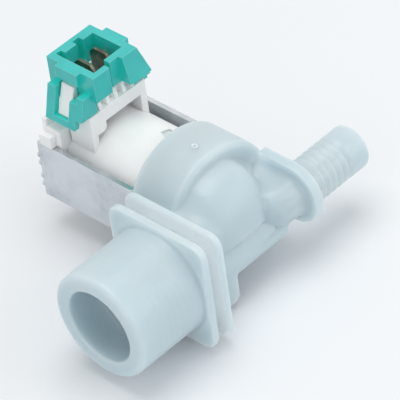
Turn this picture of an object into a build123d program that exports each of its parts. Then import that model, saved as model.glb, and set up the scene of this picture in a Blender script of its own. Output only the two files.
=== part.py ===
from build123d import *
from math import cos, radians, sin
import os

# Water inlet valve of a washing machine. Millimetres. X is the flow direction, Y runs along the
# coil, Z is up, towards the connector. The origin is the middle of the flange's front face, on
# the inlet axis.

# inlet and flange
inlet_r = 13.1               # over the crests of the 3/4 inch pipe thread
inlet_length = 19.7          # mouth to flange
mouth_bevel = 0.8
bore_r = 9.0
regulator_bore_r = 8.2
flange_width = 28.0          # along Y
flange_height = 28.6         # along Z
flange_corner_r = 3.0
front_plate_t = 2.0
rear_plate_t = 1.7
panel_gap = 2.9              # groove that grips the machine's panel
panel_neck = 20.6            # side of the square neck in the groove
seat_wall = 2.7              # from the regulator's seat to the back of the rear plate
shoulder_r = 10.6
shoulder_length = 2.6
rib_t = 1.8
rib_length = 9.6
rib_offset = 6.0

# strainer and flow regulator in the inlet
strainer_length = 9.4
strainer_rim_t = 1.6
strainer_r = 7.6
strainer_taper = 0.9
strainer_wall = 0.9
strainer_gap = 0.1
strainer_space = 0.6         # between the strainer's end and the regulator's holder
strainer_rows = 4
strainer_columns = 12
strainer_bar = 0.8
holder_t = 2.4
holder_gap = 0.05
holder_hole_r = 2.8
washer_r = 4.6
washer_t = 1.6
washer_hole_r = 1.7
washer_bevel = 0.4

# valve chamber, round the coil axis
coil_x = 24.6                # from the flange's front face to the coil axis
chamber_r = 16.1
chamber_front = 4.8          # from the inlet axis to the chamber's floor, outside
floor_t = 1.8
annulus_r = 13.0
ledge_depth = 7.2            # chamber floor, outside, to the diaphragm's ledge
cup_r = 14.2
edge_bevel = 1.0
dome_r = 12.0                # rounded bottom of the chamber
dome_rise = 5.0
seat_r = 5.6
seat_bore_r = 4.0
seat_step = 1.5              # the seat stands this much below the ledge

# water ways
arch_top = 8.2               # passage from the inlet to the chamber, outside
arch_front = 5.6
arch_round = 6.8             # along its upper corner
arch_end_round = 2.0
arch_step = 0.4              # its lower edge stands over the belly, above the parting plane
arch_past_axis = 6.0
passage_r = 5.9
passage_y = 2.5
belly_r = 6.0                # rounded bottom of the moulding
belly_y = -1.0
belly_z = -4.6
belly_past_axis = 9.0
well_wall = 2.0
well_gap = 0.4               # from the passage's end to the seat's wall
outlet_y = -4.3
neck_r = 5.0
outlet_bore_r = 3.3
outlet_wall = 1.4            # from the arch's end to the outlet's blind end
link_r = 2.6                 # channel that joins the well to the outlet
link_y = -1.6
root_plate_r = 7.6
root_plate_t = 2.7
neck_length = 7.0            # arch to root plate
spigot_r = 5.5
spigot_length = 18.0
spigot_root = 3.2            # smooth length before the first barb
barb_count = 5
barb_pitch = 1.9
barb_rise = 1.5              # sloped part of each barb
barb_depth = 0.35
tip_round = 0.9

# diaphragm and its insert
bead_t = 1.8
bead_width = 1.5
web_t = 0.6
pad_r = 7.0
pad_t = 1.6
insert_stem_r = 2.6
insert_lip_r = 3.4
insert_lip_t = 1.1
insert_disc_r = 6.6
insert_disc_t = 1.2
nozzle_r = 1.2
nozzle_height = 0.7
pilot_hole_r = 0.5
bleed_hole_r = 0.35
bleed_offset = 6.1

# cover with the plunger's guide tube
cover_t = 4.05
pilot_room_r = 11.4
pilot_room_depth = 1.8
tube_r = 5.5
tube_bore_r = 4.1
tube_end_t = 1.2
cup_gap = 0.1

# plunger, its seal and its spring
plunger_gap = 0.05           # round the plunger, running fit
plunger_length = 26.8
plunger_bevel = 0.5
plunger_flat = 0.5
plunger_lift = 2.6           # free way up to the tube's end
seal_r = 1.9
seal_t = 1.5
seal_proud = 0.3
nozzle_gap = 0.1
spring_bore_r = 2.7
spring_bore_depth = 9.0
spring_r = 2.2
spring_wire_r = 0.25
spring_turns = 6
spring_sides = 6
spring_play = 0.05

# coil
sheet_t = 1.2                # yoke and end plate
yoke_width = 26.5            # along X, outside
yoke_height = 15.4           # along Z
yoke_bend_r = 1.6
bobbin_length = 27.9
bobbin_step = 0.35           # from the casing's side in to the flange's, clear of the yoke's bends
bobbin_flange_t = 1.7
bobbin_tube_r = 7.7
bobbin_play = 0.1
casing_wall = 1.3
bushing_wall = 1.0
bushing_length = 9.2
tube_play = 0.1
casing_play = 0.15           # between the casing and the yoke's legs
tenon_width = 4.0            # two on each leg's end, through the end plate
tenon_z = -0.7
tenon_offset = 3.05
head_r = 0.75                # two coined lobes on each tenon
head_t = 1.1
stake_offset = 1.15
tenon_play = 0.05
notch_offset = 1.0           # from the coil axis to the notch in the casing's end edge
notch_width = 4.0
notch_depth = 2.9
notch_slant = 1.3
lug_gap = 0.1                # round the bobbin's lug in the notch

# terminal tower
tower_back = 12.95           # from the tower's front face to the coil's far end
tower_half = 8.85
tower_wall = 1.8
tower_depth = 7.2
tower_top = 17.8
beam_height = 3.4
hook_width = 2.9
hook_drop = 2.4
core_half = 5.2
core_front = 2.0             # behind the tower's front face
core_back = 11.6
core_rise = 2.8              # above the deck
core_foot = 5.6              # behind the tower's front face, below the deck
deck_t = 1.8
saddle_half = 11.8           # clear of the yoke's legs
saddle_length = 5.3
saddle_rise = 4.7
leg_gap = 0.1                # between the legs' edges and the lugs above them
lug_proud = 0.2              # lugs stand this much outside the legs
lug_length = 3.7
lug_rise = 3.0
lug_round = 0.8
column_t = 1.3
column_rise = 1.7
comb_count = 5
comb_pitch = 2.55
comb_start = 4.7             # first tooth, from the middle
comb_t = 1.0
comb_rise = 2.6
catch_width = 3.8
catch_offset = 6.4           # behind the tower's front face
catch_height = 7.2
catch_out = 3.4
catch_slope = 2.5

# terminals
tab_width = 6.3
tab_t = 0.8
tab_pitch = 5.0
tab_offset = 6.0             # behind the tower's front face
tab_below = 1.2              # from the socket's top down to the tabs' tips
tab_bevel = 1.3
tail_width = 2.4

# connector housing
shell_half = 6.95
shell_front = 1.2            # ahead of the tower's front face
shell_length = 14.6
shell_lift = 3.8             # from the tower's top to the shell's bottom
shell_height = 6.9
side_wall = 1.8
back_wall = 1.1
front_wall = 1.5
grip_out = 1.4               # blocks on the two sides
grip_offset = 4.0            # from the shell's front
grip_length = 6.7
grip_height = 3.2
skirt_out_top = 2.7
skirt_out_bottom = 4.9
skirt_lap = 2.0              # up the shell's side
skirt_height = 8.3
skirt_t = 1.5
skirt_bar = 1.5
skirt_offset = 1.4           # from the shell's front
skirt_length = 11.1
front_post = 2.1
front_post_drop = 1.8        # below the rear post's top
skirt_post = 2.5
skirt_web = 2.0
skirt_gap = 0.2
catch_gap = 0.2
key_wide = 3.6
key_depth = 1.5
front_block = 5.1
front_slot = 1.3
front_recess = 1.6
recess_wall = 1.3
wall_lap = 0.3
wing_width = 4.7
wing_out = 1.7
wing_side = 2.0
wing_t = 1.4

# places along the flow, from the flange's front face
groove_x = front_plate_t
rear_x = groove_x + panel_gap
neck_x = rear_x + rear_plate_t
seat_x = neck_x - seat_wall
holder_x = seat_x - holder_t
rim_x = holder_x - strainer_space - strainer_length
arch_end = coil_x + arch_past_axis
outlet_x = arch_end + outlet_wall
root_x = arch_end + neck_length
spigot_x = root_x + root_plate_t
tip_x = spigot_x + spigot_length

# places along the coil, from the inlet axis
ledge_y = chamber_front + ledge_depth
seat_y = ledge_y - seat_step
cover_y = ledge_y + bead_t
rim_y = cover_y + cover_t
bobbin_y = rim_y + sheet_t
coil_end = bobbin_y + bobbin_length
end_plate_y = coil_end + bobbin_play
insert_top = seat_y + pad_t + insert_disc_t
nozzle_top = insert_top + nozzle_height
nose_y = nozzle_top + nozzle_gap + seal_proud
plunger_top = nose_y + plunger_length
tube_end = plunger_top + plunger_lift
bushing_r = tube_r + tube_play + bushing_wall
winding_end = coil_end - bobbin_flange_t
tower_y = coil_end - tower_back
shell_y0 = tower_y - shell_front
shell_y1 = shell_y0 + shell_length
skirt_y0 = shell_y0 + skirt_offset
skirt_y1 = skirt_y0 + skirt_length
leg_x = yoke_width / 2
casing_r = leg_x - sheet_t - casing_play
winding_r = casing_r - casing_wall

# heights above the coil axis
shell_bottom = tower_top + shell_lift
shell_top = shell_bottom + shell_height
skirt_top = shell_bottom + skirt_lap
skirt_bottom = skirt_top - skirt_height
tab_top = shell_top - tab_below


def block(x0, x1, y0, y1, z0, z1):
    """box between two corners"""
    size = Box(x1 - x0, y1 - y0, z1 - z0)
    return Pos((x0 + x1) / 2, (y0 + y1) / 2, (z0 + z1) / 2) * size


def rod_x(r, x0, x1, y=0.0, z=0.0):
    """round bar along the flow"""
    return Pos((x0 + x1) / 2, y, z) * Rot(0, 90, 0) * Cylinder(r, x1 - x0)


def rod_y(r, y0, y1, x=coil_x, z=0.0):
    """round bar along the coil axis"""
    return Pos(x, (y0 + y1) / 2, z) * Rot(90, 0, 0) * Cylinder(r, y1 - y0)


def turned_y(points):
    """solid turned round the coil axis from points of radius and place along it"""
    outline = make_face(Polyline(*points, close=True))
    return Pos(coil_x, 0, 0) * revolve(outline, Axis.Y)


def turned_x(points, y=0.0):
    """solid turned round a line along the flow from points of place and radius"""
    outline = make_face(Polyline(*points, close=True))
    return Pos(0, y, 0) * revolve(outline, Axis.X)


def plate_x(width, height, corner, x0, x1):
    """rounded rectangular plate across the flow"""
    outline = RectangleRounded(width, height, corner)
    return extrude(Plane.YZ.offset(x0) * outline, x1 - x0)


def tongue(r, x0, x1, y_far):
    """plate across the flow, half round about the outlet and straight up to y_far"""
    straight = block(x0, x1, outlet_y, y_far, -r, r)
    return straight + rod_x(r, x0, x1, outlet_y)


def side_profile(points, y0, y1):
    """prism along the coil from points of X and Z"""
    outline = make_face(Plane.XZ * Polyline(*points, close=True))
    return Pos(0, y0, 0) * extrude(outline, y1 - y0, dir=(0, 1, 0))


def inlet_tube():
    outer = rod_x(inlet_r, -inlet_length, 0)
    mouth = outer.edges().filter_by(GeomType.CIRCLE).sort_by(Axis.X)[0]
    return chamfer(mouth, mouth_bevel)


def flange():
    front = plate_x(flange_width, flange_height, flange_corner_r, 0, groove_x)
    neck = plate_x(panel_neck, panel_neck, flange_corner_r, groove_x, rear_x)
    rear = plate_x(flange_width, flange_height, flange_corner_r, rear_x, neck_x)
    return front + neck + rear


def flange_ribs():
    """two webs below the moulding, from the rear plate to the belly"""
    low = -flange_height / 2
    rib = None
    for side in (-1, 1):
        y = side * rib_offset
        web = block(neck_x, neck_x + rib_length, y - rib_t / 2, y + rib_t / 2, low, belly_z)
        corner = web.edges().filter_by(Axis.Y).sort_by(Axis.Z)[:2].sort_by(Axis.X)[-1]
        web = fillet(corner, rib_t)
        rib = web if rib is None else rib + web
    return rib


def chamber():
    """drum round the diaphragm, with a stepped floor"""
    drum = rod_y(chamber_r, chamber_front, rim_y)
    drum = chamfer(drum.edges().filter_by(GeomType.CIRCLE).sort_by(Axis.Y)[0], edge_bevel)
    sphere_r = (dome_r ** 2 + dome_rise ** 2) / (2 * dome_rise)
    dome = Pos(coil_x, chamber_front - dome_rise + sphere_r, 0) * Sphere(sphere_r)
    dome &= block(coil_x - dome_r, coil_x + dome_r, chamber_front - dome_rise, ledge_y, -dome_r, dome_r)
    return drum + (dome & rod_y(dome_r, chamber_front - dome_rise, ledge_y))


def arch():
    """passage with a rounded upper corner and a flat lower edge, and a plain round lower half behind"""
    top = block(neck_x, arch_end, -arch_front, chamber_front, arch_step, arch_top)
    corner = top.edges().filter_by(Axis.X).sort_by(Axis.Z)[-2:].sort_by(Axis.Y)[0]
    top = fillet(corner, arch_round)
    far = top.faces().filter_by(Plane.YZ).sort_by(Axis.X)[-1]
    rim = [e for e in far.edges() if e.center().Z > arch_step + 0.1 and e.center().Y < chamber_front - 0.1]
    top = fillet(rim, arch_end_round)
    low = rod_x(passage_r + well_wall, neck_x, arch_end, passage_y)
    low &= block(neck_x, arch_end, belly_y, ledge_y, -arch_top, arch_step)
    return top + low


def water_ways():
    belly = rod_x(belly_r, neck_x, coil_x + belly_past_axis, belly_y, belly_z)
    shoulder = rod_x(shoulder_r, neck_x, neck_x + shoulder_length)
    shoulder = chamfer(shoulder.edges().filter_by(GeomType.CIRCLE).sort_by(Axis.X)[-1], edge_bevel)
    neck = tongue(neck_r, arch_end - 1, root_x, chamber_front)
    root_plate = tongue(root_plate_r, root_x, spigot_x, chamber_front)
    return arch() + belly + shoulder + neck + root_plate


def spigot():
    """hose spigot with low barbs and a rounded tip"""
    points = [(root_x, 0), (root_x, spigot_r), (spigot_x + spigot_root, spigot_r)]
    for i in range(barb_count):
        start = spigot_x + spigot_root + i * barb_pitch
        points.append((start, spigot_r - barb_depth))
        points.append((start + barb_rise, spigot_r))
        points.append((start + barb_pitch, spigot_r))
    points.append((tip_x - tip_round, spigot_r))
    for angle in (30, 60, 90):
        across = tip_round * (1 - cos(radians(angle)))
        points.append((tip_x - tip_round + tip_round * sin(radians(angle)), spigot_r - across))
    points.append((tip_x, 0))
    return turned_x(points, outlet_y)


def valve_body():
    solid = inlet_tube() + flange() + flange_ribs() + chamber() + water_ways() + spigot()
    solid -= rod_x(bore_r, -inlet_length, rim_x)
    solid -= rod_x(regulator_bore_r, -inlet_length, seat_x)
    solid -= rod_x(passage_r, seat_x, coil_x - seat_r - well_gap, passage_y)
    solid -= rod_y(annulus_r, chamber_front + floor_t, ledge_y) - rod_y(seat_r, 0, seat_y)
    solid -= rod_y(cup_r, ledge_y, rim_y)
    solid -= rod_y(seat_bore_r, well_wall - arch_front, seat_y)
    solid -= rod_x(link_r, coil_x, root_x - neck_length / 2, link_y)
    solid -= rod_x(outlet_bore_r, outlet_x, tip_x, outlet_y)
    return solid


def inlet_strainer():
    """cup of moulded mesh behind a rim"""
    end = rim_x + strainer_length
    low = strainer_r - strainer_taper
    front = rim_x - strainer_rim_t
    points = [(front, strainer_r - strainer_wall), (front, bore_r - strainer_gap)]
    points += [(rim_x, bore_r - strainer_gap), (rim_x, strainer_r), (end, low), (end, 0)]
    points += [(end - strainer_wall, 0), (end - strainer_wall, low - strainer_wall)]
    solid = turned_x(points)
    pitch = (strainer_length - strainer_wall * 2) / strainer_rows
    tall = 2 * strainer_r * sin(radians(180 / strainer_columns)) - strainer_bar
    for row in range(strainer_rows):
        x = rim_x + strainer_wall + row * pitch
        for column in range(strainer_columns // 2):
            slot = block(x, x + pitch - strainer_bar, -strainer_r * 2, strainer_r * 2, -tall / 2, tall / 2)
            solid -= Rot(column * 360 / strainer_columns, 0, 0) * slot
    return solid


def regulator_holder():
    """disc with a pocket for the rubber washer"""
    solid = rod_x(regulator_bore_r - holder_gap, holder_x, seat_x)
    solid -= rod_x(washer_r, holder_x, holder_x + washer_t)
    return solid - rod_x(holder_hole_r, holder_x, seat_x)


def regulator_washer():
    solid = rod_x(washer_r, holder_x, holder_x + washer_t)
    inner = rod_x(washer_hole_r, holder_x, holder_x + washer_t)
    rims = solid.edges().filter_by(GeomType.CIRCLE).sort_by(Axis.X)
    return chamfer(rims[0], washer_bevel) - inner


def bleed_hole(r, y0, y1):
    return rod_y(r, y0, y1, coil_x + bleed_offset)


def diaphragm():
    """rubber disc with a bead round it and a thick pad over the seat"""
    bead_r = cup_r - cup_gap / 2
    bead_in = bead_r - bead_width
    top = seat_y + pad_t
    middle = ledge_y + bead_t / 2
    points = [(insert_stem_r, seat_y), (pad_r, seat_y), (pad_r, top - web_t)]
    points += [(bead_in, middle - web_t / 2), (bead_in, ledge_y), (bead_r, ledge_y), (bead_r, cover_y)]
    points += [(bead_in, cover_y), (bead_in, middle + web_t / 2), (pad_r, top), (insert_stem_r, top)]
    return turned_y(points) - bleed_hole(bleed_hole_r * 1.5, seat_y - 1, top + 1)


def diaphragm_insert():
    """plastic disc through the diaphragm, with the pilot nozzle on top"""
    top = seat_y + pad_t
    low = seat_y - insert_lip_t
    points = [(pilot_hole_r, low), (insert_lip_r, low), (insert_lip_r, seat_y), (insert_stem_r, seat_y)]
    points += [(insert_stem_r, top), (insert_disc_r, top), (insert_disc_r, insert_top)]
    points += [(nozzle_r * 1.6, insert_top), (nozzle_r, nozzle_top), (pilot_hole_r, nozzle_top)]
    return turned_y(points) - bleed_hole(bleed_hole_r, top - 1, insert_top + 1)


def core_tube():
    """cover over the diaphragm and the closed tube that guides the plunger"""
    cover_r = cup_r - cup_gap / 2
    room_y = cover_y + pilot_room_depth
    end_y = tube_end + tube_end_t
    points = [(pilot_room_r, cover_y), (cover_r, cover_y), (cover_r, rim_y), (tube_r, rim_y)]
    points += [(tube_r, end_y), (0, end_y), (0, tube_end), (tube_bore_r, tube_end)]
    points += [(tube_bore_r, room_y), (pilot_room_r, room_y)]
    return turned_y(points)


def plunger():
    """steel plunger with a pocket for its seal, a spring bore and two flats for the water"""
    r = tube_bore_r - plunger_gap
    solid = rod_y(r, nose_y, plunger_top)
    solid = chamfer(solid.edges().filter_by(GeomType.CIRCLE), plunger_bevel)
    for side in (-1, 1):
        far = side * r
        near = side * (r - plunger_flat)
        low, high = min(near, far), max(near, far)
        solid -= block(coil_x - r, coil_x + r, nose_y, plunger_top, low, high)
    solid -= rod_y(seal_r, nose_y, nose_y + seal_t - seal_proud)
    return solid - rod_y(spring_bore_r, plunger_top - spring_bore_depth, plunger_top)


def plunger_seal():
    return rod_y(seal_r, nose_y - seal_proud, nose_y - seal_proud + seal_t)


def plunger_spring():
    """coil spring from the bottom of the plunger's bore to the closed end of the tube"""
    start = plunger_top - spring_bore_depth + spring_wire_r + spring_play
    height = tube_end - spring_wire_r - spring_play - start
    path = Helix(height / spring_turns, height, spring_r)
    section = Plane(origin=path @ 0, z_dir=path % 0) * RegularPolygon(spring_wire_r, spring_sides)
    wire = sweep(section, path=path, is_frenet=True)
    return Pos(coil_x, start, 0) * Rot(-90, 0, 0) * wire


def bobbin():
    """spool with wide ends for the flux bushings"""
    flange_r = casing_r - bobbin_step
    flange_y = bobbin_y + bobbin_flange_t
    low_bore = rim_y + bushing_length
    high_bore = end_plate_y + sheet_t - bushing_length
    middle_r = tube_r + tube_play
    points = [(bushing_r, bobbin_y), (flange_r, bobbin_y), (flange_r, flange_y)]
    points += [(bobbin_tube_r, flange_y), (bobbin_tube_r, winding_end)]
    points += [(winding_r, winding_end), (winding_r, coil_end), (bushing_r, coil_end), (bushing_r, high_bore)]
    points += [(middle_r, high_bore), (middle_r, low_bore), (bushing_r, low_bore)]
    ring = rod_y(flange_r, flange_y, coil_end) - rod_y(winding_r, flange_y, coil_end)
    return turned_y(points) + (casing_notch(flange_y, lug_gap) & ring)


def winding():
    start = bobbin_y + bobbin_flange_t
    return rod_y(winding_r, start, winding_end) - rod_y(bobbin_tube_r, start, winding_end)


def bushing(start):
    outer = rod_y(bushing_r, start, start + bushing_length)
    return outer - rod_y(tube_r + tube_play, start, start + bushing_length)


def tenons(play):
    """four short bars on the legs' ends, less or more a play, that reach through the end plate"""
    bars = None
    for side in (-1, 1):
        inner = side * (leg_x - sheet_t - play)
        outer = side * (leg_x + play)
        low, high = min(inner, outer), max(inner, outer)
        for offset in (-tenon_offset, tenon_offset):
            z0 = tenon_z + offset - tenon_width / 2 - play
            z1 = tenon_z + offset + tenon_width / 2 + play
            bar = block(low, high, end_plate_y - sheet_t, end_plate_y + sheet_t, z0, z1)
            bars = bar if bars is None else bars + bar
    return bars


def coined_heads():
    """lobes on the tenons' ends, outside the end plate"""
    start = end_plate_y + sheet_t
    lobes = None
    for offset in (-tenon_offset, tenon_offset):
        for mark in (-stake_offset, stake_offset):
            lobe = rod_y(head_r, start, start + head_t, leg_x - sheet_t / 2, tenon_z + offset + mark)
            lobe = chamfer(lobe.edges().filter_by(GeomType.CIRCLE).sort_by(Axis.Y)[-1], head_t / 2)
            lobes = lobe if lobes is None else lobes + lobe
    return lobes + mirror(lobes, Plane.YZ)


def yoke_bracket():
    """steel strip bent to a U, with two coined tenons on the end of each leg"""
    half = yoke_height / 2
    end = end_plate_y - tenon_play
    outer = block(-leg_x, leg_x, rim_y, end, -half, half)
    outer = fillet(outer.edges().filter_by(Axis.Z).sort_by(Axis.Y)[:2], yoke_bend_r)
    inside = leg_x - sheet_t
    inner = block(-inside, inside, bobbin_y, end, -half, half)
    inner = fillet(inner.edges().filter_by(Axis.Z).sort_by(Axis.Y)[:2], yoke_bend_r - sheet_t)
    solid = outer - inner + tenons(0) + coined_heads()
    return Pos(coil_x, 0, 0) * solid - rod_y(bushing_r, rim_y, bobbin_y)


def yoke_end_plate():
    """plate across the legs' ends, with notches for their tenons"""
    half = yoke_height / 2
    end = end_plate_y + sheet_t
    solid = block(-leg_x, leg_x, end_plate_y, end, -half, half) - tenons(tenon_play)
    return Pos(coil_x, 0, 0) * solid - rod_y(bushing_r, end_plate_y, end)


def terminal(side):
    """flat tab with bevelled corners and a narrow tail down to the winding"""
    x = coil_x + side * tab_pitch / 2
    tail_top = tower_top - deck_t
    half = tab_width / 2
    y = tower_y + tab_offset
    blade = block(x - tab_t / 2, x + tab_t / 2, y - half, y + half, tail_top, tab_top)
    tips = blade.edges().filter_by(Axis.X).sort_by(Axis.Z)[-2:]
    blade = chamfer(tips, tab_bevel)
    tail = block(x - tab_t / 2, x + tab_t / 2, y - tail_width / 2, y + tail_width / 2, winding_r, tail_top)
    return blade + tail


def tower_arch():
    """two side walls, the beam across them with its hook, and the deck on top"""
    solid = None
    for side in (-1, 1):
        outer = side * tower_half
        inner = side * (tower_half - tower_wall)
        low, high = min(outer, inner), max(outer, inner)
        wall = block(low, high, tower_y, tower_y + tower_depth, 0, tower_top)
        solid = wall if solid is None else solid + wall
    beam = tower_top - beam_height
    solid += block(-tower_half, tower_half, tower_y, tower_y + tower_wall, beam, tower_top)
    deck_y = tower_y + core_back
    solid += block(-tower_half, tower_half, tower_y, tower_y + tower_depth, tower_top - deck_t, tower_top)
    hook_x = tower_wall - tower_half
    hook = block(hook_x, hook_x + hook_width, tower_y, tower_y + tower_wall, beam - hook_drop, beam)
    hook = fillet(hook.edges().filter_by(Axis.Y).sort_by(Axis.Z)[:2].sort_by(Axis.X)[-1], hook_drop / 2)
    foot = block(-core_half, core_half, tower_y + core_foot, deck_y, 0, tower_top)
    core_low = tower_top - deck_t
    core = block(-core_half, core_half, tower_y + core_front, deck_y, core_low, tower_top + core_rise)
    return solid + hook + foot + core


def comb():
    """small teeth on the beam, in front of the core"""
    teeth = None
    top = tower_top + comb_rise
    back = tower_y + core_front
    points = [(tower_y + comb_t / 3, tower_top), (back, tower_top), (back, top), (back - comb_t, top)]
    outline = make_face(Plane.YZ * Polyline(*points, close=True))
    for i in range(comb_count):
        x = i * comb_pitch - comb_start - comb_t / 2
        tooth = Pos(x, 0, 0) * extrude(outline, comb_t, dir=(1, 0, 0))
        teeth = tooth if teeth is None else teeth + tooth
    return teeth


def catches():
    """one ramp on each side that the housing's bars snap under"""
    ledge = skirt_bottom + skirt_bar + catch_gap
    top = ledge + catch_height
    wall = shell_half + catch_gap
    inner = core_half - tower_wall / 2
    slab = shell_bottom - catch_gap
    points = [(wall, top), (wall + catch_out - catch_slope, top), (wall + catch_out, ledge)]
    points += [(inner, ledge), (inner, slab), (wall, slab)]
    start = tower_y + catch_offset - catch_width / 2
    ramps = side_profile(points, start, start + catch_width)
    return ramps + mirror(ramps, Plane.YZ)


def saddle():
    """thick end between the yoke's legs, with a low wall and with lugs over the legs' edges"""
    low = yoke_height / 2 + leg_gap
    high = low + saddle_rise
    start = coil_end - saddle_length
    solid = block(-saddle_half, saddle_half, start, coil_end, 0, high)
    solid += block(-saddle_half, saddle_half, coil_end - column_t, coil_end, 0, high + column_rise)
    lug_x = leg_x + lug_proud
    lugs = block(-lug_x, lug_x, coil_end - lug_length, coil_end, low, low + lug_rise)
    lugs = fillet(lugs.edges().filter_by(Axis.X).sort_by(Axis.Z)[-2:].sort_by(Axis.Y)[-1], lug_round)
    return solid + lugs


def casing_notch(start, gap):
    """outline, less a gap, of the cut in the casing's end edge where the winding wire is led out"""
    x0 = coil_x + notch_offset + gap
    x1 = coil_x + notch_offset + notch_width - gap
    end = start + notch_depth - gap
    points = [(x0, start), (x1, start), (x1, end), (x0 + notch_slant, end)]
    return extrude(make_face(Polyline(*points, close=True)), casing_r * 2)


def coil_casing():
    """white overmould round the winding with the terminal tower"""
    start = bobbin_y + bobbin_flange_t
    drum = rod_y(casing_r, start, coil_end)
    drum -= casing_notch(start, 0)
    tower = Pos(coil_x, 0, 0) * (tower_arch() + comb() + catches() + saddle())
    solid = drum + tower - rod_y(winding_r, start, coil_end)
    for side in (-1, 1):
        solid -= terminal(side)
    return solid


def skirt():
    """flared guard round a catch: two posts, a web at each end and the bar below"""
    top_x = shell_half + skirt_out_top
    low_x = shell_half + skirt_out_bottom
    inner = shell_half - side_wall / 2
    bar_top = skirt_bottom + skirt_bar
    slope = (low_x - top_x) / (skirt_top - skirt_bottom)
    at_bar = low_x - slope * skirt_bar
    outer = [(low_x, skirt_bottom), (top_x, skirt_top)]
    post = outer + [(top_x - skirt_t, skirt_top), (low_x - skirt_t, skirt_bottom)]
    bar = [(low_x, skirt_bottom), (at_bar, bar_top), (at_bar - skirt_t, bar_top)]
    bar.append((low_x - skirt_t, skirt_bottom))
    web_low = tower_top + skirt_gap
    at_web = low_x - slope * (web_low - skirt_bottom)
    web = [(at_web, web_low), (top_x, skirt_top), (inner, skirt_top), (inner, web_low)]
    back = [(at_web, web_low), (top_x, skirt_top), (inner, skirt_top), (inner, shell_bottom)]
    front = skirt_y0 + skirt_web
    rear = skirt_y1 - skirt_post
    short = skirt_top - front_post_drop
    at_short = low_x - slope * (short - skirt_bottom)
    low_post = [(low_x, skirt_bottom), (at_short, short), (at_short - skirt_t, short)]
    low_post.append((low_x - skirt_t, skirt_bottom))
    solid = side_profile(bar, front, skirt_y1)
    solid += side_profile(low_post, front, front + front_post) + side_profile(post, rear, skirt_y1)
    return solid + side_profile(web, skirt_y0, front) + side_profile(back, skirt_y1 - skirt_web, skirt_y1)


def wing():
    """flared corner of the front wall"""
    high = Plane.XY.offset(shell_top)
    low = Plane.XY.offset(shell_bottom)
    x1 = shell_half
    x0 = x1 - wing_width
    wide = wing_width + wing_side
    top = high * Pos((x0 + x1) / 2, shell_y0 + wing_t / 2) * Rectangle(wing_width, wing_t)
    deep = wing_t + wing_out
    bottom = low * Pos(x0 + wide / 2, shell_y0 - wing_out + deep / 2) * Rectangle(wide, deep)
    return loft([bottom, top])


def connector_housing():
    """open socket round the two tabs, keyed inside and snapped over the catches"""
    front = shell_y0 + front_wall
    grip_y = shell_y0 + grip_offset
    solid = block(-shell_half, shell_half, shell_y0, shell_y1, shell_bottom, shell_top)
    for side in (-1, 1):
        outer = side * (shell_half + grip_out)
        low, high = min(0, outer), max(0, outer)
        solid += block(low, high, grip_y, grip_y + grip_length, shell_top - grip_height, shell_top)
    inner = shell_half - side_wall
    back = shell_y1 - back_wall
    hollow = block(-inner, inner, front, back, shell_bottom, shell_top)
    hollow -= block(-key_wide, 0, back - key_depth, back, shell_bottom, shell_top)
    hollow -= block(key_wide - key_depth, inner, back - key_depth, back, shell_bottom, shell_top)
    solid -= hollow
    slot_x = front_block - shell_half
    recess_x = slot_x + front_slot
    wing_x = shell_half - wing_width
    step_y = shell_y0 + front_recess
    solid -= block(slot_x, recess_x, shell_y0, front, shell_bottom, shell_top)
    solid -= block(recess_x, wing_x, shell_y0, step_y, shell_bottom, shell_top)
    solid += block(recess_x, inner, front - wall_lap, step_y + recess_wall, shell_bottom, shell_top)
    guard = skirt()
    solid += guard + mirror(guard, Plane.YZ) + wing()
    return Pos(coil_x, 0, 0) * solid


pieces = {
    "valve_body": valve_body(),
    "inlet_strainer": inlet_strainer(),
    "regulator_holder": regulator_holder(),
    "regulator_washer": regulator_washer(),
    "diaphragm": diaphragm(),
    "diaphragm_insert": diaphragm_insert(),
    "core_tube": core_tube(),
    "plunger": plunger(),
    "plunger_seal": plunger_seal(),
    "plunger_spring": plunger_spring(),
    "bobbin": bobbin(),
    "winding": winding(),
    "coil_casing": coil_casing(),
    "bushing_lower": bushing(rim_y),
    "bushing_upper": bushing(end_plate_y + sheet_t - bushing_length),
    "yoke_bracket": yoke_bracket(),
    "yoke_end_plate": yoke_end_plate(),
    "terminal_left": terminal(-1),
    "terminal_right": terminal(1),
    "connector_housing": connector_housing(),
}

os.makedirs("parts", exist_ok=True)
for name, solid in pieces.items():
    export_step(solid, f"parts/{name}.step")
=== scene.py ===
import bmesh
import bpy
from math import cos, pi, radians, sin
from mathutils import Matrix, Vector


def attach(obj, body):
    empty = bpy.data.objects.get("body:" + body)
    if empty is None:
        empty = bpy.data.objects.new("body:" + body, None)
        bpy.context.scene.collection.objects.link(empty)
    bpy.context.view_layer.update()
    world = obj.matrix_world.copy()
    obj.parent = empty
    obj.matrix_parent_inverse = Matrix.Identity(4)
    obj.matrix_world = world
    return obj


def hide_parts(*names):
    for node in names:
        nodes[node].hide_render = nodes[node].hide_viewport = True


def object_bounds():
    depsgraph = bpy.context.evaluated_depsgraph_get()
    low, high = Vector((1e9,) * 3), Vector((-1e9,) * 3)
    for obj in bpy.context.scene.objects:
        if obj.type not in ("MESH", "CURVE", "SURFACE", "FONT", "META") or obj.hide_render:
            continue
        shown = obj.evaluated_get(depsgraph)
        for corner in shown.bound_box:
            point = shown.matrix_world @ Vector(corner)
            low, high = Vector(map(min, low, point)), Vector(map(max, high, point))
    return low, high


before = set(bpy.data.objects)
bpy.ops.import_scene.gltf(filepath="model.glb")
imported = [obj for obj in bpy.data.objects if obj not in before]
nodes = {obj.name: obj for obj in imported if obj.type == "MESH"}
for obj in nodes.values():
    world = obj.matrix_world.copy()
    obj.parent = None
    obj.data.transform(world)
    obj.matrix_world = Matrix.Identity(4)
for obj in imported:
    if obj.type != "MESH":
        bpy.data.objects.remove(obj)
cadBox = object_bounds()
mm = 0.001
print("frame loaded:", len(nodes), "parts")


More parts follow.
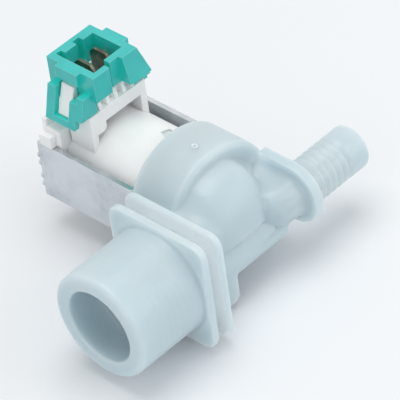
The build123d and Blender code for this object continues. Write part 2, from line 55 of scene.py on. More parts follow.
# sRGB hex to the linear colour that a socket takes
def linear(hexCode):
    shares = [int(hexCode[i:i + 2], 16) / 255 for i in (0, 2, 4)]
    return [s / 12.92 if s <= 0.04045 else ((s + 0.055) / 1.055) ** 2.4 for s in shares] + [1.0]


# adds one node with its settings, and its inputs as values or as another node's output
def addNode(tree, kind, settings=None, inputs=None):
    node = tree.nodes.new(kind)
    for name, value in (settings or {}).items():
        setattr(node, name, value)
    for name, value in (inputs or {}).items():
        if isinstance(value, bpy.types.NodeSocket):
            tree.links.new(value, node.inputs[name])
        else:
            node.inputs[name].default_value = value
    return node


# an empty material, its node tree and its output
def newMaterial(name):
    material = bpy.data.materials.new(name)
    material.use_nodes = True
    material.node_tree.nodes.clear()
    output = addNode(material.node_tree, "ShaderNodeOutputMaterial")
    return material, material.node_tree, output


# the camera stands where the photograph was taken
cameraSet = {
    "place": (-0.37201145, -0.43424142, 0.49966294),
    "right": (0.67712713, -0.72741887, -0.11117842),
    "up": (0.53101798, 0.37842736, 0.75816399),
    "back": (-0.50942984, -0.57241115, 0.64251593),
    "lens": 315.0,
    "sensor": 36.0,
    "clip": (0.01, 20.0),
}

cameraData = bpy.data.cameras.new("camera")
cameraData.lens = cameraSet["lens"]
cameraData.sensor_width = cameraSet["sensor"]
cameraData.clip_start, cameraData.clip_end = cameraSet["clip"]
camera = bpy.data.objects.new("camera", cameraData)
turn = Matrix((cameraSet["right"], cameraSet["up"], cameraSet["back"])).transposed()
camera.matrix_world = Matrix.Translation(cameraSet["place"]) @ turn.to_4x4()
bpy.context.scene.collection.objects.link(camera)
bpy.context.scene.camera = camera
bpy.context.scene.view_settings.view_transform = "Standard"
print("camera placed")


# a pale board, and soft light from above and from both sides
studio = {
    "floorColour": "EEF1F4", "floorRoughness": 0.9, "floorSpecular": 0.2,
    "floorHalf": 3.0,
    "floorGap": 0.02 * mm,
    "skyStrength": 0.62,
    "lamps": {
        "overhead": {"place": (0.05, 0.05, 0.60), "size": 0.50, "power": 1.50},
        "fromLeft": {"place": (-0.52, -0.22, 0.30), "size": 0.50, "power": 0.34},
        "fromRight": {"place": (0.30, -0.50, 0.30), "size": 0.50, "power": 0.74},
    },
}


def makeFloor(values):
    half, low = values["floorHalf"], cadBox[0].z - values["floorGap"]
    mesh = bpy.data.meshes.new("floor")
    corners = [(-half, -half, low), (half, -half, low), (half, half, low), (-half, half, low)]
    mesh.from_pydata(corners, [], [(0, 1, 2, 3)])
    floor = bpy.data.objects.new("floor", mesh)
    bpy.context.scene.collection.objects.link(floor)
    material, tree, output = newMaterial("matt painted board")
    paint = addNode(tree, "ShaderNodeBsdfPrincipled", inputs={
        "Base Color": linear(values["floorColour"]), "Roughness": values["floorRoughness"],
        "Specular IOR Level": values["floorSpecular"]})
    tree.links.new(paint.outputs[0], output.inputs["Surface"])
    mesh.materials.append(material)


def makeLight(values):
    centre = (cadBox[0] + cadBox[1]) / 2
    for name, lamp in values["lamps"].items():
        data = bpy.data.lights.new(name, "AREA")
        data.shape, data.size, data.energy = "DISK", lamp["size"], lamp["power"]
        light = bpy.data.objects.new(name, data)
        light.location = lamp["place"]
        light.rotation_euler = (centre - light.location).to_track_quat("-Z", "Y").to_euler()
        bpy.context.scene.collection.objects.link(light)
    world = bpy.data.worlds.new("soft white room")
    world.use_nodes = True
    tree = world.node_tree
    tree.nodes.clear()
    # seen directly or in a reflection the room is white, and it lights the object at a lower level
    path = addNode(tree, "ShaderNodeLightPath")
    seen = addNode(tree, "ShaderNodeMath", {"operation": "MAXIMUM"},
                   {0: path.outputs["Is Camera Ray"], 1: path.outputs["Is Glossy Ray"]})
    seen = addNode(tree, "ShaderNodeMath", {"operation": "MAXIMUM"},
                   {0: seen.outputs[0], 1: path.outputs["Is Transmission Ray"]})
    strength = addNode(tree, "ShaderNodeMapRange", inputs={
        "Value": seen.outputs[0], "To Min": values["skyStrength"], "To Max": 1.0})
    sky = addNode(tree, "ShaderNodeBackground", inputs={
        "Color": (1, 1, 1, 1), "Strength": strength.outputs[0]})
    output = addNode(tree, "ShaderNodeOutputWorld")
    tree.links.new(sky.outputs[0], output.inputs["Surface"])
    bpy.context.scene.world = world


makeFloor(studio)
makeLight(studio)
print("floor and light made")


# Natural PA66, injection moulded: milky and translucent, so light spreads inside it, thin places
# look cooler than thick ones, and every edge is soft, with a faint painted highlight on it
naturalPa66 = {
    "thick": "C5D4D9", "thin": "BBCDD4", "roughness": 0.36, "ior": 1.53,
    "scatterMm": (5.5, 5.5, 5.5), "scatterShare": 1.0, "edge": "C9D8DE", "softEdgeMm": 0.30,
    "cloudMm": 22.0,        # slow change of milkiness in the wall
    "paintedCreviceLightMm": 5.0, "paintedCreviceLight": "ECF4F7",      # painted light: the colour turns paler where two walls stand close, as light gathers there
    "grainMm": 0.40,        # the tool's eroded grain, really about 0.05 mm, coarser here so that it shows
}
# The same nylon with glass in it, moulded: paler, duller, and light goes only a little way in; its painted
# crevice light reaches less far
filledPa66 = dict(
    naturalPa66, thick="DDE6E9", thin="D3DEE2", roughness=0.42, scatterMm=(1.2, 1.3, 1.4), paintedCreviceLightMm=2.0)
# White glass filled PA66, overmoulded: opaque and clean white, with a dull gloss and a painted highlight on
# its edges
whiteOvermould = {
    "thick": "F6F7F6", "thin": "F0F1F2", "roughness": 0.45, "ior": 1.53,
    "scatterMm": (0.8, 0.8, 0.8), "scatterShare": 0.5, "edge": "FFFFFF", "softEdgeMm": 0.20,
    "cloudMm": 9.0, "grainMm": 0.25,
}
# Blue-green PBT, injection moulded: almost opaque, with a soft sheen on its flats, a painted highlight on its
# edges, and painted light, deeper in colour, in its recesses
tealPbt = {
    "thick": "36C3BE", "thin": "2CB7B4", "roughness": 0.32, "ior": 1.57,
    "scatterMm": (0.3, 0.5, 0.5), "scatterShare": 0.3, "edge": "92DFD8", "softEdgeMm": 0.24,
    "cloudMm": 7.0, "grainMm": 0.25, "paintedCreviceLightMm": 7.0, "paintedCreviceLight": "1CE0D2",
}
# Grey acetal, moulded: the small inner parts, smooth and waxy, with a painted highlight on their edges
acetal = {
    "thick": "C9CBC6", "thin": "BFC1BC", "roughness": 0.4, "ior": 1.48,
    "scatterMm": (0.4, 0.4, 0.4), "scatterShare": 0.3, "edge": "D4D6D2", "softEdgeMm": 0.12,
    "cloudMm": 6.0, "grainMm": 0.25,
}
# Black EPDM rubber, moulded: dull, with almost no gloss, and a faint painted highlight on its edges
epdmRubber = {
    "thick": "1E1F20", "thin": "262728", "roughness": 0.75, "ior": 1.5,
    "scatterMm": (0.05, 0.05, 0.05), "scatterShare": 0.0, "edge": "2E2F30", "softEdgeMm": 0.10,
    "cloudMm": 4.0, "grainMm": 0.2,
}
# what all the moulded finishes share
mouldedSkin = {
    "edgeTurn": (0.75, 0.97),       # all edge below the first, all flat above the second
    # the first two values here are the occlusion levels at which the painted crevice light starts and is full
    "paintedLightStartsAt": 0.85, "paintedLightFullAt": 0.20, "grainStrength": 0.06, "grainDepthMm": 0.02,
    "roughnessSpread": 0.05,
}


# how far a rounded edge turns away from the flat beside it, 0 on a flat and 1 on an edge
def edgeShare(tree, radius, turn):
    soft = addNode(tree, "ShaderNodeBevel", {"samples": 6}, {"Radius": radius})
    true = addNode(tree, "ShaderNodeNewGeometry").outputs["Normal"]
    same = addNode(tree, "ShaderNodeVectorMath", {"operation": "DOT_PRODUCT"},
                   {0: soft.outputs[0], 1: true})
    share = addNode(tree, "ShaderNodeMapRange", inputs={
        "Value": same.outputs["Value"], "From Min": turn[1], "From Max": turn[0]})
    return soft.outputs[0], share.outputs[0]


def mouldedPlastic(name, values, skin=mouldedSkin):
    material, tree, output = newMaterial(name)
    place = addNode(tree, "ShaderNodeTexCoord").outputs["Object"]
    cloud = addNode(tree, "ShaderNodeTexNoise", inputs={
        "Vector": place, "Scale": 1 / (values["cloudMm"] * mm), "Detail": 2.0, "Roughness": 0.5})
    share = addNode(tree, "ShaderNodeMapRange", inputs={
        "Value": cloud.outputs[0], "From Min": 0.3, "From Max": 0.7})
    body = addNode(tree, "ShaderNodeMix", {"data_type": "RGBA"}, {
        "Factor": share.outputs[0], "A": linear(values["thick"]), "B": linear(values["thin"])})
    soft, edge = edgeShare(tree, values["softEdgeMm"] * mm, skin["edgeTurn"])
    # painted highlight: a paler colour mixed in along rounded edges, as if they caught the light
    colour = addNode(tree, "ShaderNodeMix", {"data_type": "RGBA"}, {
        "Factor": edge, "A": body.outputs[2], "B": linear(values["edge"])})
    # painted light: where walls stand close, an occlusion mask mixes in the crevice colour in place of the
    # body's
    if "paintedCreviceLightMm" in values:
        near = addNode(tree, "ShaderNodeAmbientOcclusion", {"samples": 8}, {
            "Distance": values["paintedCreviceLightMm"] * mm})
        paintedLightShare = addNode(tree, "ShaderNodeMapRange", inputs={
            "Value": near.outputs["AO"], "From Min": skin["paintedLightStartsAt"],
            "From Max": skin["paintedLightFullAt"]})
        colour = addNode(tree, "ShaderNodeMix", {"data_type": "RGBA"}, {
            "Factor": paintedLightShare.outputs[0], "A": colour.outputs[2], "B": linear(values["paintedCreviceLight"])})
    grain = addNode(tree, "ShaderNodeTexNoise", inputs={
        "Vector": place, "Scale": 1 / (values["grainMm"] * mm), "Detail": 3.0})
    bump = addNode(tree, "ShaderNodeBump", inputs={
        "Height": grain.outputs[0], "Strength": skin["grainStrength"],
        "Distance": skin["grainDepthMm"] * mm, "Normal": soft})
    rough = addNode(tree, "ShaderNodeMapRange", inputs={
        "Value": grain.outputs[0], "To Min": values["roughness"] - skin["roughnessSpread"],
        "To Max": values["roughness"] + skin["roughnessSpread"]})
    shader = addNode(tree, "ShaderNodeBsdfPrincipled", inputs={
        "Base Color": colour.outputs[2], "Roughness": rough.outputs[0], "IOR": values["ior"],
        "Normal": bump.outputs[0], "Subsurface Weight": values["scatterShare"], "Subsurface Scale": mm,
        "Subsurface Radius": values["scatterMm"]})
    tree.links.new(shader.outputs[0], output.inputs["Surface"])
    return material


# Bright zinc on cold rolled steel strip: smooth and mirror-like but hazy, with fine rolling lines,
# dull patches from handling, a few scratches and a painted highlight on its edges
zincSteel = {
    "light": "D3D7DB", "dark": "BCC2C8", "edge": "EEF1F3", "roughness": 0.20, "haze": 0.12,
    "lineMm": 0.10, "patchMm": 7.0, "scratchMm": 5.0,
}
# Tinned brass strip, dulled: olive and dark, with painted highlights on its edges
tinnedBrass = {
    "light": "6A6E60", "dark": "3F4237", "edge": "8A8768", "roughness": 0.24, "haze": 0.15,
    "lineMm": 0.10, "patchMm": 2.0, "scratchMm": 2.5,
}
# Ferritic stainless bar and spring wire, turned or drawn: bright with fine lines and a painted highlight on
# its edges
stainless = {
    "light": "C8C8C6", "dark": "B4B4B2", "edge": "DADAD8", "roughness": 0.22, "haze": 0.10,
    "lineMm": 0.08, "patchMm": 3.0, "scratchMm": 4.0,
}
# Enamelled copper wire, wound: reddish and glossy, with a painted highlight on its edges
copperWire = {
    "light": "B5653A", "dark": "8C4A2A", "edge": "C98058", "roughness": 0.3, "haze": 0.05,
    "lineMm": 0.2, "patchMm": 4.0, "scratchMm": 6.0,
}
# what all the metal finishes share; real rolling and drawing lines are about 0.01 mm apart, and
# lineMm above is as coarse as they need to be to show
metalSkin = {
    "lineStretch": 0.04, "lineStrength": 0.08, "lineDepthMm": 0.01,
    "edgeMm": 0.14, "edgeTurn": (0.75, 0.97), "dullPatch": (0.42, 0.75), "hazyPatch": (0.3, 0.8),
    "scratchTurn": (0.5, 0.35, 0.6), "scratchStretch": (1.0, 0.12, 1.0),
    "scratchLevel": 0.58, "scratchWidth": 0.004, "scratchBright": 0.6,
}


def stripMetal(name, values, along, skin=metalSkin):
    material, tree, output = newMaterial(name)
    place = addNode(tree, "ShaderNodeTexCoord").outputs["Object"]
    stretch = [1.0, 1.0, 1.0]
    stretch[along] = skin["lineStretch"]        # lines run along the strip
    lined = addNode(tree, "ShaderNodeMapping", inputs={"Vector": place, "Scale": stretch})
    lines = addNode(tree, "ShaderNodeTexNoise", inputs={
        "Vector": lined.outputs[0], "Scale": 1 / (values["lineMm"] * mm), "Detail": 2.0})
    patches = addNode(tree, "ShaderNodeTexNoise", inputs={
        "Vector": place, "Scale": 1 / (values["patchMm"] * mm), "Detail": 4.0, "Roughness": 0.55})
    dull = addNode(tree, "ShaderNodeMapRange", inputs={
        "Value": patches.outputs[0], "From Min": skin["dullPatch"][0], "From Max": skin["dullPatch"][1]})
    body = addNode(tree, "ShaderNodeMix", {"data_type": "RGBA"}, {
        "Factor": dull.outputs[0], "A": linear(values["light"]), "B": linear(values["dark"])})
    soft, edge = edgeShare(tree, skin["edgeMm"] * mm, skin["edgeTurn"])
    # thin lines where a slow wave crosses one value, broken up by the patches
    turned = addNode(tree, "ShaderNodeMapping", inputs={
        "Vector": place, "Rotation": skin["scratchTurn"], "Scale": skin["scratchStretch"]})
    wave = addNode(tree, "ShaderNodeTexNoise", inputs={
        "Vector": turned.outputs[0], "Scale": 1 / (values["scratchMm"] * mm), "Detail": 0.0})
    off = addNode(tree, "ShaderNodeMath", {"operation": "SUBTRACT"}, {
        0: wave.outputs[0], 1: skin["scratchLevel"]})
    near = addNode(tree, "ShaderNodeMath", {"operation": "ABSOLUTE"}, {0: off.outputs[0]})
    scratch = addNode(tree, "ShaderNodeMapRange", inputs={
        "Value": near.outputs[0], "From Min": 0.0, "From Max": skin["scratchWidth"],
        "To Min": skin["scratchBright"], "To Max": 0.0})
    # the edge colour goes on as a painted highlight along the edges, and on the scratches, which are real
    # wear
    edgeLightAndScratchShare = addNode(tree, "ShaderNodeMath", {"operation": "MAXIMUM"}, {0: edge, 1: scratch.outputs[0]})
    colour = addNode(tree, "ShaderNodeMix", {"data_type": "RGBA"}, {
        "Factor": edgeLightAndScratchShare.outputs[0], "A": body.outputs[2], "B": linear(values["edge"])})
    rough = addNode(tree, "ShaderNodeMapRange", inputs={
        "Value": patches.outputs[0], "From Min": skin["hazyPatch"][0], "From Max": skin["hazyPatch"][1],
        "To Min": values["roughness"], "To Max": values["roughness"] + values["haze"]})
    bump = addNode(tree, "ShaderNodeBump", inputs={
        "Height": lines.outputs[0], "Strength": skin["lineStrength"],
        "Distance": skin["lineDepthMm"] * mm, "Normal": soft})
    shader = addNode(tree, "ShaderNodeBsdfPrincipled", inputs={
        "Base Color": colour.outputs[2], "Metallic": 1.0,
        "Roughness": rough.outputs[0], "Normal": bump.outputs[0]})
    tree.links.new(shader.outputs[0], output.inputs["Surface"])
    return material


finishes = {
    "valve_body": mouldedPlastic("natural PA66 moulded", naturalPa66),
    "bobbin": mouldedPlastic("glass filled PA66 moulded", filledPa66),
    "coil_casing": mouldedPlastic("white PA66 overmoulded", whiteOvermould),
    "connector_housing": mouldedPlastic("blue-green PBT moulded", tealPbt),
    "regulator_holder": mouldedPlastic("acetal moulded", acetal),
    "diaphragm": mouldedPlastic("EPDM rubber moulded", epdmRubber),
    "yoke_bracket": stripMetal("zinc plated steel strip", zincSteel, 1),
    "terminal_left": stripMetal("tinned brass strip", tinnedBrass, 2),
    "plunger": stripMetal("ferritic stainless bar", stainless, 1),
    "winding": stripMetal("enamelled copper wire", copperWire, 0),
}
sameAs = {
    "inlet_strainer": "bobbin", "core_tube": "bobbin",
    "diaphragm_insert": "regulator_holder", "regulator_washer": "diaphragm", "plunger_seal": "diaphragm",
    "yoke_end_plate": "yoke_bracket", "bushing_lower": "yoke_bracket", "bushing_upper": "yoke_bracket",
    "terminal_right": "terminal_left", "plunger_spring": "plunger",
}
for name, part in nodes.items():
    part.data.materials.clear()
    part.data.materials.append(finishes[sameAs.get(name, name)])
    for face in part.data.polygons:
        face.material_index = 0
print("finishes given to", len(nodes), "parts")

# the body as the eye meets it: every edge blended, a low soft thread on the inlet, a rounded bulge
# under the seat, and a neck that grows out of the passage into its root plate
bodySkin = {
    "voxelMm": 0.34, "smoothTimes": 5, "keepShare": 0.50,
    "threadPitchMm": 1.814, "threadCrestMm": 13.15, "threadFootMm": 13.0, "threadWidthMm": 1.5,
    "threadFromMm": -18.3, "threadToMm": -1.8, "runOutTurns": 0.7, "stepsPerTurn": 90,
    # the ridge's side, its start and its root lie this far inside the foot, and its top is a share
    "threadSideMm": 0.1, "threadStartMm": 0.3, "threadRootMm": 0.6, "threadTop": 0.25,
    "bulgeMm": (24.6, 4.8), "bulgeHalfMm": (11.1, 13.1), "bulgeEndMm": 9.1,
    "bulgeSteps": 24, "bulgeSections": 12, "bulgeOverlapMm": 0.7,
    # place along X, and the shares of the depth and of the height
    "bulgeBack": ((6, 0.92, 0.58), (9, 0.93, 0.60), (12, 0.94, 0.66), (14, 0.95, 0.75), (16.6, 0.97, 0.90),
                  (19, 0.99, 0.965), (21, 1.0, 0.99), (23, 1.0, 1.0)),
    # the passage's end is drawn in as far as this along X, from this far before the bulge's middle,
    # and from this height up, growing to the full over the fade
    "drawToMm": 30.9, "drawFrontMm": 0.4, "drawLowMm": 0.3, "drawFadeMm": 1.4,
    # the wall beside the bulge, from the passage's front and up, where it is whole and where it ends
    "archFrontMm": 5.6, "wallAlongMm": (6, 19, 25),
    "wallOutMm": ((0.3, 0.7), (-0.9, -2.2), (-1.2, -4.6)),
    "wallInMm": ((1.2, 0.0), (1.0, -2.2), (0.8, -4.6)),
    # place along X, centre along Y and radius
    "neckMm": 29.2, "neckGrowsMm": ((27.5, -1.2, 4.2), (29.5, -2.6, 4.6), (32.0, -4.3, 5.0)),
    "neckClearMm": (0.3, 0.5),      # kept clear of the drawing in, along X and in radius
    "neckSideMm": 0.2, "neckFadeMm": 1.5,
    "filletMm": ((36.2, 4.9), (36.9, 5.3), (37.4, 5.9), (37.9, 6.8)), "tongueTopMm": 4.8,
    "tongueKeptMm2": 28.0,      # square of the radius that stays as it is, about the outlet's axis
    "outletAtMm": -4.3, "roundSteps": 32,
    "spigotMm": {"from": 40.3, "inPlate": 39.0, "tip": 58.3, "r": 5.5, "boreR": 3.22, "firstBarb": 43.5,
                 "barbs": 5, "pitch": 1.9, "rise": 1.5, "depth": 0.35, "tipRound": 0.9, "tipBevel": 0.3,
                 "notch": 0.04, "steps": 120,
                 "skinShrinks": 0.1, "skinShorter": 0.7},      # the skin's own spigot inside the sleeve
    "softenMm": (((8, -7.4, -5), (31.2, 5.6, 14), 6), ((12, -7.4, 1.5), (28.5, 4.2, 11), 20),
                 ((28.8, -12, -6), (37.3, 5.6, 9), 8)),
    "boreMm": 4.2,              # nothing this near the outlet's axis is softened
}


# faces between each ring of points and the next
def joinRings(mesh, rings):
    for one, two in zip(rings, rings[1:]):
        for k in range(len(one)):
            j = (k + 1) % len(one)
            mesh.faces.new((one[k], one[j], two[j], two[k]))


# a helix with a low rounded crest, rooted in the inlet's wall
def threadRidge(values):
    mesh = bmesh.new()
    steps, pitch = values["stepsPerTurn"], values["threadPitchMm"]
    count = round((values["threadToMm"] - values["threadFromMm"]) / pitch * steps)
    half, foot, start = values["threadWidthMm"] / 2, values["threadFootMm"], values["threadStartMm"]
    root, side, top = foot - values["threadRootMm"], foot - values["threadSideMm"], half * values["threadTop"]
    rings = []
    for i in range(count + 1):
        angle = 2 * pi * i / steps
        grown = min(1.0, min(i, count - i) / (values["runOutTurns"] * steps))
        crest = foot - start + (values["threadCrestMm"] - foot + start) * grown
        x = values["threadFromMm"] + pitch * i / steps
        section = [(x - half, root), (x - half, side), (x - top, crest),
                   (x + top, crest), (x + half, side), (x + half, root)]
        rings.append([mesh.verts.new((px * mm, r * cos(angle) * mm, r * sin(angle) * mm))
                      for px, r in section])
    joinRings(mesh, rings)
    mesh.faces.new(rings[0])
    mesh.faces.new(list(reversed(rings[-1])))
    bmesh.ops.recalc_face_normals(mesh, faces=mesh.faces)
    return mesh


# a solid between outlines of points of Y and Z, each at its place along X, all in millimetres
def stretchedSolid(outlines):
    mesh = bmesh.new()
    rings = [[mesh.verts.new((x * mm, y * mm, z * mm)) for y, z in points] for x, points in outlines]
    joinRings(mesh, rings)
    mesh.faces.new(rings[0])
    mesh.faces.new(list(reversed(rings[-1])))
    bmesh.ops.recalc_face_normals(mesh, faces=mesh.faces)
    data = bpy.data.meshes.new("body form")
    mesh.to_mesh(data)
    mesh.free()
    return data


# the wall that stands a little out beside the bulge, and dies away under it
def wallForm(values):
    whole, gone = [[(0.0, points[0][1])] + [(y - values["archFrontMm"], z) for y, z in points]
                   + [(0.0, points[-1][1])] for points in (values["wallOutMm"], values["wallInMm"])]
    start, fades, end = values["wallAlongMm"]
    return stretchedSolid([(start, whole), (fades, whole), (end, gone)])


# the neck's centre and radius at a place along X, where it grows out of the passage
def neckAt(values, x):
    stations = values["neckGrowsMm"]
    for one, two in zip(stations, stations[1:]):
        if x <= two[0]:
            share = max(0.0, (x - one[0]) / (two[0] - one[0]))
            return one[1] + (two[1] - one[1]) * share, one[2] + (two[2] - one[2]) * share
    return stations[-1][1:]


def neckForm(values):
    turns = [2 * pi * i / values["roundSteps"] for i in range(values["roundSteps"])]
    return stretchedSolid([(x, [(y + r * cos(a), r * sin(a)) for a in turns])
                           for x, y, r in values["neckGrowsMm"]])


# the fillet in the corner between the neck and its root plate, open where the bore runs through
def plateFillet(values):
    y, top, inner = values["outletAtMm"], values["tongueTopMm"], values["boreMm"]
    steps = values["roundSteps"] // 2
    turns = [pi * i / steps for i in range(steps + 1)]
    outlines = []
    for x, r in values["filletMm"]:
        outer = [(y - r * sin(a), r * cos(a)) for a in turns]
        back = [(y - inner * sin(a), inner * cos(a)) for a in reversed(turns)]
        outlines.append((x, [(top, r)] + outer + [(top, -r), (top, -inner)] + back + [(top, inner)]))
    return stretchedSolid(outlines)


# how much smaller the bulge is at a place along X than over the coil's axis
def bulgeShare(values, x):
    return max(0.0, 1 - ((x - values["bulgeMm"][0]) / values["bulgeEndMm"]) ** 2) ** 0.5


# the rounded bulge under the seat: a long back towards the inlet and a ball's end at the outlet
def bulgeForm(values):
    xc, yc = values["bulgeMm"]
    deep, tall = values["bulgeHalfMm"]
    steps, count, back = values["bulgeSteps"], values["bulgeSections"], yc + values["bulgeOverlapMm"]
    sections = [(x, deep * d, tall * t) for x, d, t in values["bulgeBack"]]
    for i in range(count):
        x = xc + values["bulgeEndMm"] * sin(pi * i / (2 * count)) * 0.999       # just short of its end
        share = bulgeShare(values, x)
        sections.append((x, deep * share, tall * share))
    turns = [pi / 2 * i / steps for i in range(steps)] + [pi / 2]
    outlines = []
    for x, d, t in sections:
        front = [(yc - d * sin(a), t * cos(a)) for a in turns]
        outlines.append((x, [(back, t)] + front + [(back, 0.0)]))
    return stretchedSolid(outlines)


# the passage's square end is brought in to the bulge, above the wall and outside the neck
def drawToBulge(mesh, values):
    xc, yc = values["bulgeMm"]
    deep, tall = values["bulgeHalfMm"]
    before, around = values["neckClearMm"]
    grows, low = values["neckGrowsMm"][0][0] - before, values["drawLowMm"]
    centre = Vector((xc, yc, 0))
    for vertex in mesh.vertices:
        place = vertex.co / mm
        if not xc < place.x < values["drawToMm"]:
            continue
        if place.y > yc - values["drawFrontMm"] or place.z < low:
            continue
        y, r = neckAt(values, place.x)
        inNeck = place.x > grows and (place.y - y) ** 2 + place.z ** 2 < (r + around) ** 2
        side = min(0.0, place.y - values["outletAtMm"])
        inTongue = place.x > values["neckMm"] and side ** 2 + place.z ** 2 < values["tongueKeptMm2"]
        if inNeck or inTongue:
            continue
        q = place - centre
        far = ((q.x / values["bulgeEndMm"]) ** 2 + (q.y / deep) ** 2 + (q.z / tall) ** 2) ** 0.5
        if far > 1:
            share = min(1.0, (place.z - low) / values["drawFadeMm"])
            vertex.co = (centre + q * (1 + (1 / far - 1) * share)) * mm


# the neck's own front end is brought in to where the neck grows, and the spigot inside its sleeve
def fitNeckAndSpigot(mesh, values):
    axis, (end, _, full) = values["outletAtMm"], values["neckGrowsMm"][-1]
    side, spigot = full + values["neckSideMm"], values["spigotMm"]
    for vertex in mesh.vertices:
        x, y, z = vertex.co / mm
        centre, r = neckAt(values, x)
        out = ((y - centre) ** 2 + z ** 2) ** 0.5 / r
        if values["neckMm"] < x < end and y < centre and abs(z) < side and out > 1:
            share = min(1.0, (centre - y) / values["neckFadeMm"]) * min(1.0, side - abs(z))
            share = 1 + (1 / out - 1) * share
            y, z = centre + (y - centre) * share, z * share
        elif x > spigot["from"] and (y - axis) ** 2 + z ** 2 > values["boreMm"] ** 2:
            share = 1 - spigot["skinShrinks"] * min(1.0, x - spigot["from"])
            y, z = axis + (y - axis) * share, z * share
        vertex.co = Vector((min(x, spigot["tip"] - spigot["skinShorter"]), y, z)) * mm


# creases round the bulge run out softly, more so in the middle of the region than at its sides
def softenBulge(mesh, values):
    work = bmesh.new()
    work.from_mesh(mesh)
    axis = values["outletAtMm"]
    for low, high, times in values["softenMm"]:
        inside = [v for v in work.verts if all(a < c / mm < b for a, c, b in zip(low, v.co, high))
                  and (v.co.y / mm - axis) ** 2 + (v.co.z / mm) ** 2 > values["boreMm"] ** 2]
        for _ in range(times):
            bmesh.ops.smooth_vert(work, verts=inside, factor=0.5, use_axis_x=True, use_axis_y=True,
                                  use_axis_z=True)
    work.to_mesh(mesh)
    work.free()


def makeBodySkin(values):
    mesh = threadRidge(values)
    for form in (wallForm(values), bulgeForm(values), neckForm(values), plateFillet(values)):
        mesh.from_mesh(form)
    mesh.from_mesh(nodes["valve_body"].data)
    joined = bpy.data.meshes.new("valve_body_skin_raw")
    mesh.to_mesh(joined)
    mesh.free()
    raw = bpy.data.objects.new("valve_body_skin_raw", joined)
    bpy.context.scene.collection.objects.link(raw)
    remesh = raw.modifiers.new("melt", "REMESH")
    remesh.mode, remesh.voxel_size, remesh.use_smooth_shade = "VOXEL", values["voxelMm"] * mm, True
    smooth = raw.modifiers.new("blend edges", "SMOOTH")
    smooth.factor, smooth.iterations = 0.5, values["smoothTimes"]
    thin = raw.modifiers.new("fewer faces", "DECIMATE")
    thin.ratio = values["keepShare"]
    depsgraph = bpy.context.evaluated_depsgraph_get()
    done = bpy.data.meshes.new_from_object(raw.evaluated_get(depsgraph))
    bpy.data.objects.remove(raw)
    fitNeckAndSpigot(done, values)
    drawToBulge(done, values)
    softenBulge(done, values)
    skin = bpy.data.objects.new("valve_body_skin", done)
    bpy.context.scene.collection.objects.link(skin)
    done.materials.clear()
    done.materials.append(finishes["valve_body"])
    for face in done.polygons:
        face.material_index, face.use_smooth = 0, True
    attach(skin, "valve")
    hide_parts("valve_body")
    return len(done.polygons)


print("body skin made with", makeBodySkin(bodySkin), "faces")


# the hose spigot's barbs, crisp where the rest of the skin is blended
def makeSpigotSleeve(values, axis):
    r, low, tip, notch = values["r"], values["r"] - values["depth"], values["tip"], values["notch"]
    profile = [(values["inPlate"], values["boreR"]), (values["inPlate"], r)]
    for i in range(values["barbs"]):
        start = values["firstBarb"] + i * values["pitch"]
        profile += [(start - notch, r), (start + notch, low), (start + values["rise"], r)]
    profile.append((values["firstBarb"] + values["barbs"] * values["pitch"], r))
    across = values["tipRound"]
    for angle in (0, 22.5, 45, 67.5, 90):
        profile.append((tip - across + across * sin(radians(angle)),
                        r - across + across * cos(radians(angle))))
    profile += [(tip, values["boreR"] + values["tipBevel"]), (tip - values["tipBevel"], values["boreR"])]
    mesh = bmesh.new()
    turns = [2 * pi * i / values["steps"] for i in range(values["steps"])]
    rings = [[mesh.verts.new((x * mm, (axis + q * cos(a)) * mm, q * sin(a) * mm)) for a in turns]
             for x, q in profile]
    joinRings(mesh, rings + rings[:1])
    bmesh.ops.recalc_face_normals(mesh, faces=mesh.faces)
    data = bpy.data.meshes.new("hose_spigot")
    mesh.to_mesh(data)
    mesh.free()
    data.materials.append(finishes["valve_body"])
    spigot = bpy.data.objects.new("hose_spigot", data)
    bpy.context.scene.collection.objects.link(spigot)
    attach(spigot, "valve")


makeSpigotSleeve(bodySkin["spigotMm"], bodySkin["outletAtMm"])
print("hose spigot made")

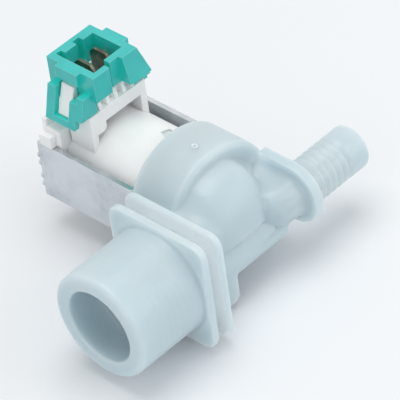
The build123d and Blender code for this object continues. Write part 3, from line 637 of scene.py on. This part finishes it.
# the gate's mark on the drum: a low oval ring round a dimple, as the runner was twisted off
gateMark = {
    "centreMm": (24.1, 10.05, 16.08), "halfMm": (0.75, 0.85), "rimMm": 0.20, "dimpleMm": 0.03, "steps": 40,
    # share of the half size, and share of the rim's height
    "profile": ((1.0, -0.25), (0.97, 0.35), (0.86, 0.9), (0.74, 1.0), (0.62, 0.75), (0.5, 0.1), (0.3, -0.1)),
    # how uneven the rim is: height, waves in a turn, and where they start
    "waves": ((0.25, 2, 0.7), (0.12, 5, 0.0)),
}
# The same nylon where it was torn: paler, and glossy, with a painted highlight on its edges
tornPa66 = dict(naturalPa66, thick="E2EBEE", thin="D5E1E6", edge="F2F7F8", scatterShare=0.0, roughness=0.28)


def makeGateMark(values):
    mesh = bmesh.new()
    cx, cy, cz = values["centreMm"]
    steps = values["steps"]
    rings = []
    for share, lift in values["profile"]:
        ring = []
        for i in range(steps):
            angle = 2 * pi * i / steps
            x = cx + values["halfMm"][0] * share * cos(angle)
            y = cy + values["halfMm"][1] * share * sin(angle)
            wobble = 1
            for height, waves, start in values["waves"]:
                wobble += height * sin(angle * waves + start)
            z = cz + lift * values["rimMm"] * wobble - (x - cx) ** 2 / (2 * cz)
            ring.append(mesh.verts.new((x * mm, y * mm, z * mm)))
        rings.append(ring)
    joinRings(mesh, rings)
    middle = mesh.verts.new((cx * mm, cy * mm, (cz - values["dimpleMm"]) * mm))
    for k in range(steps):
        mesh.faces.new((rings[-1][k], rings[-1][(k + 1) % steps], middle))
    bmesh.ops.recalc_face_normals(mesh, faces=mesh.faces)
    data = bpy.data.meshes.new("gate_mark")
    mesh.to_mesh(data)
    mesh.free()
    mark = bpy.data.objects.new("gate_mark", data)
    bpy.context.scene.collection.objects.link(mark)
    data.materials.append(mouldedPlastic("natural PA66 torn at the gate", tornPa66))
    for face in data.polygons:
        face.use_smooth = True
    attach(mark, "valve")


makeGateMark(gateMark)
print("gate mark made")

# moulded edges that catch the light, on the parts whose mesh is the frame's own
softEdges = {"widthMm": {"connector_housing": 0.14, "coil_casing": 0.16}, "segments": 2, "fromAngle": 38}
for name, width in softEdges["widthMm"].items():
    bevel = nodes[name].modifiers.new("moulded edges", "BEVEL")
    bevel.width, bevel.segments = width * mm, softEdges["segments"]
    bevel.limit_method, bevel.angle_limit = "ANGLE", radians(softEdges["fromAngle"])
    bevel.harden_normals = True
    bevel.use_clamp_overlap = True
print("edges softened on", len(softEdges["widthMm"]), "parts")
